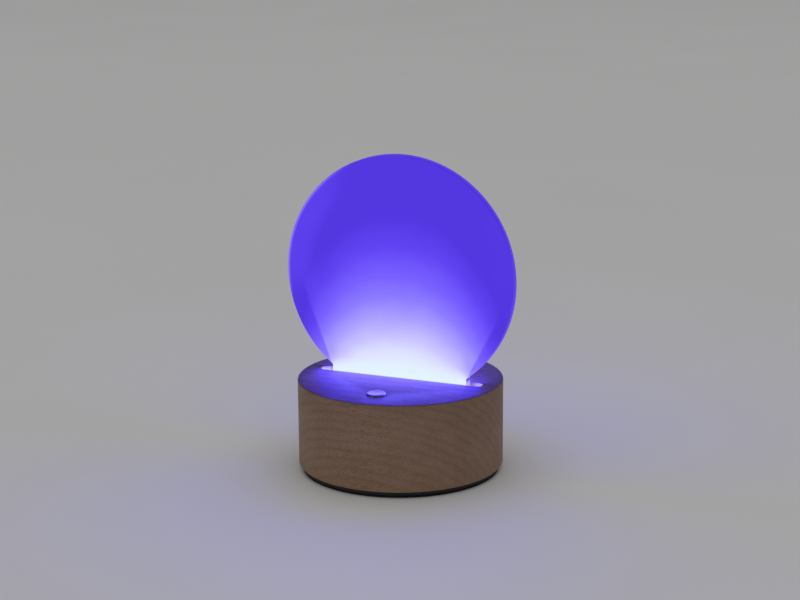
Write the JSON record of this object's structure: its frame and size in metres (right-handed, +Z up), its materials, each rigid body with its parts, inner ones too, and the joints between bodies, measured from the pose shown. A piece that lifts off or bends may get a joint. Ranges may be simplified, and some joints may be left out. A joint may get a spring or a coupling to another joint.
{
  "type": "edge-lit disc lamp",
  "caption": "Small table lamp: a frosted acrylic disc, lit from its edge, stands in a slot across a round wooden base with a push button and a charging socket.",
  "frame": {"origin": "on the table, under the middle of the round base", "axes": "+Z up; X along the slot and the disc's width; the button is at the front, towards -Y, and the charging socket at the back"},
  "size_m": [0.1176, 0.1, 0.1544],
  "materials": {
    "beech": "turned beech, fine grain, clear satin oil",
    "lit_acrylic": "frosted acrylic, lit blue-violet from below",
    "button_metal": "satin, slightly dished",
    "black_plastic": "fine moulded texture",
    "black_rubber": "non-slip foam rubber",
    "zinc_steel": "zinc-plated",
    "white_plastic": "smooth white",
    "led_board_white": "white solder mask",
    "led_lens": "lit blue-violet",
    "circuit_green": "green solder mask",
    "black_parts": "moulded epoxy",
    "nylon": "natural nylon",
    "cell_foil": "laminated foil",
    "tape_white": "double-sided foam tape",
    "wire_black": "insulation",
    "wire_red": "insulation",
    "wire_green": "insulation",
    "wire_blue": "insulation",
    "wire_yellow": "insulation",
    "wire_white": "insulation"
  },
  "bodies": {
    "base": {"wood_body": "beech", "base_plate": "black_plastic", "port_bezel": "black_plastic", "foot_pad": "black_rubber", "plate_screw_1": "zinc_steel", "plate_screw_2": "zinc_steel", "plate_screw_3": "zinc_steel", "plate_screw_4": "zinc_steel", "holder_screw_1": "zinc_steel", "holder_screw_2": "zinc_steel", "holder_screw_3": "zinc_steel", "holder_screw_4": "zinc_steel", "button_screw_1": "zinc_steel", "button_screw_2": "zinc_steel", "board_screw_1": "zinc_steel", "board_screw_2": "zinc_steel", "board_screw_3": "zinc_steel", "board_screw_4": "zinc_steel", "socket_shell": "zinc_steel", "led_holder": "white_plastic", "led_board": "led_board_white", "led_1": "led_lens", "led_2": "led_lens", "led_3": "led_lens", "led_4": "led_lens", "led_5": "led_lens", "led_6": "led_lens", "led_7": "led_lens", "led_8": "led_lens", "led_9": "led_lens", "led_10": "led_lens", "button_board": "circuit_green", "control_board": "circuit_green", "tact_switch": "black_parts", "socket_tongue": "black_parts", "charge_chip": "black_parts", "control_chip": "black_parts", "inductor": "black_parts", "button_spacer_1": "nylon", "button_spacer_2": "nylon", "led_header": "nylon", "led_plug": "nylon", "cell_header": "nylon", "cell_plug": "nylon", "battery_cell": "cell_foil", "capacitor": "cell_foil", "battery_tape": "tape_white", "led_lead_black": "wire_black", "cell_lead_black": "wire_black", "led_lead_red": "wire_red", "cell_lead_red": "wire_red", "led_lead_green": "wire_green", "led_lead_blue": "wire_blue", "button_lead_yellow": "wire_yellow", "button_lead_white": "wire_white"},
    "disc": {"acrylic_disc": "lit_acrylic"},
    "button": {"button_cap": "button_metal", "switch_plunger": "black_parts"}
  },
  "joints": [
    {"name": "disc_lift", "type": "slide", "parent": "base", "child": "disc", "axis": [0, 0, 1], "range_m": [0, 0.03]},
    {"name": "button_press", "type": "slide", "parent": "base", "child": "button", "axis": [0, 0, -1], "range_m": [0, 0.0006], "stiffness_N_per_m": 300, "springref_m": -0.002}
  ]
}
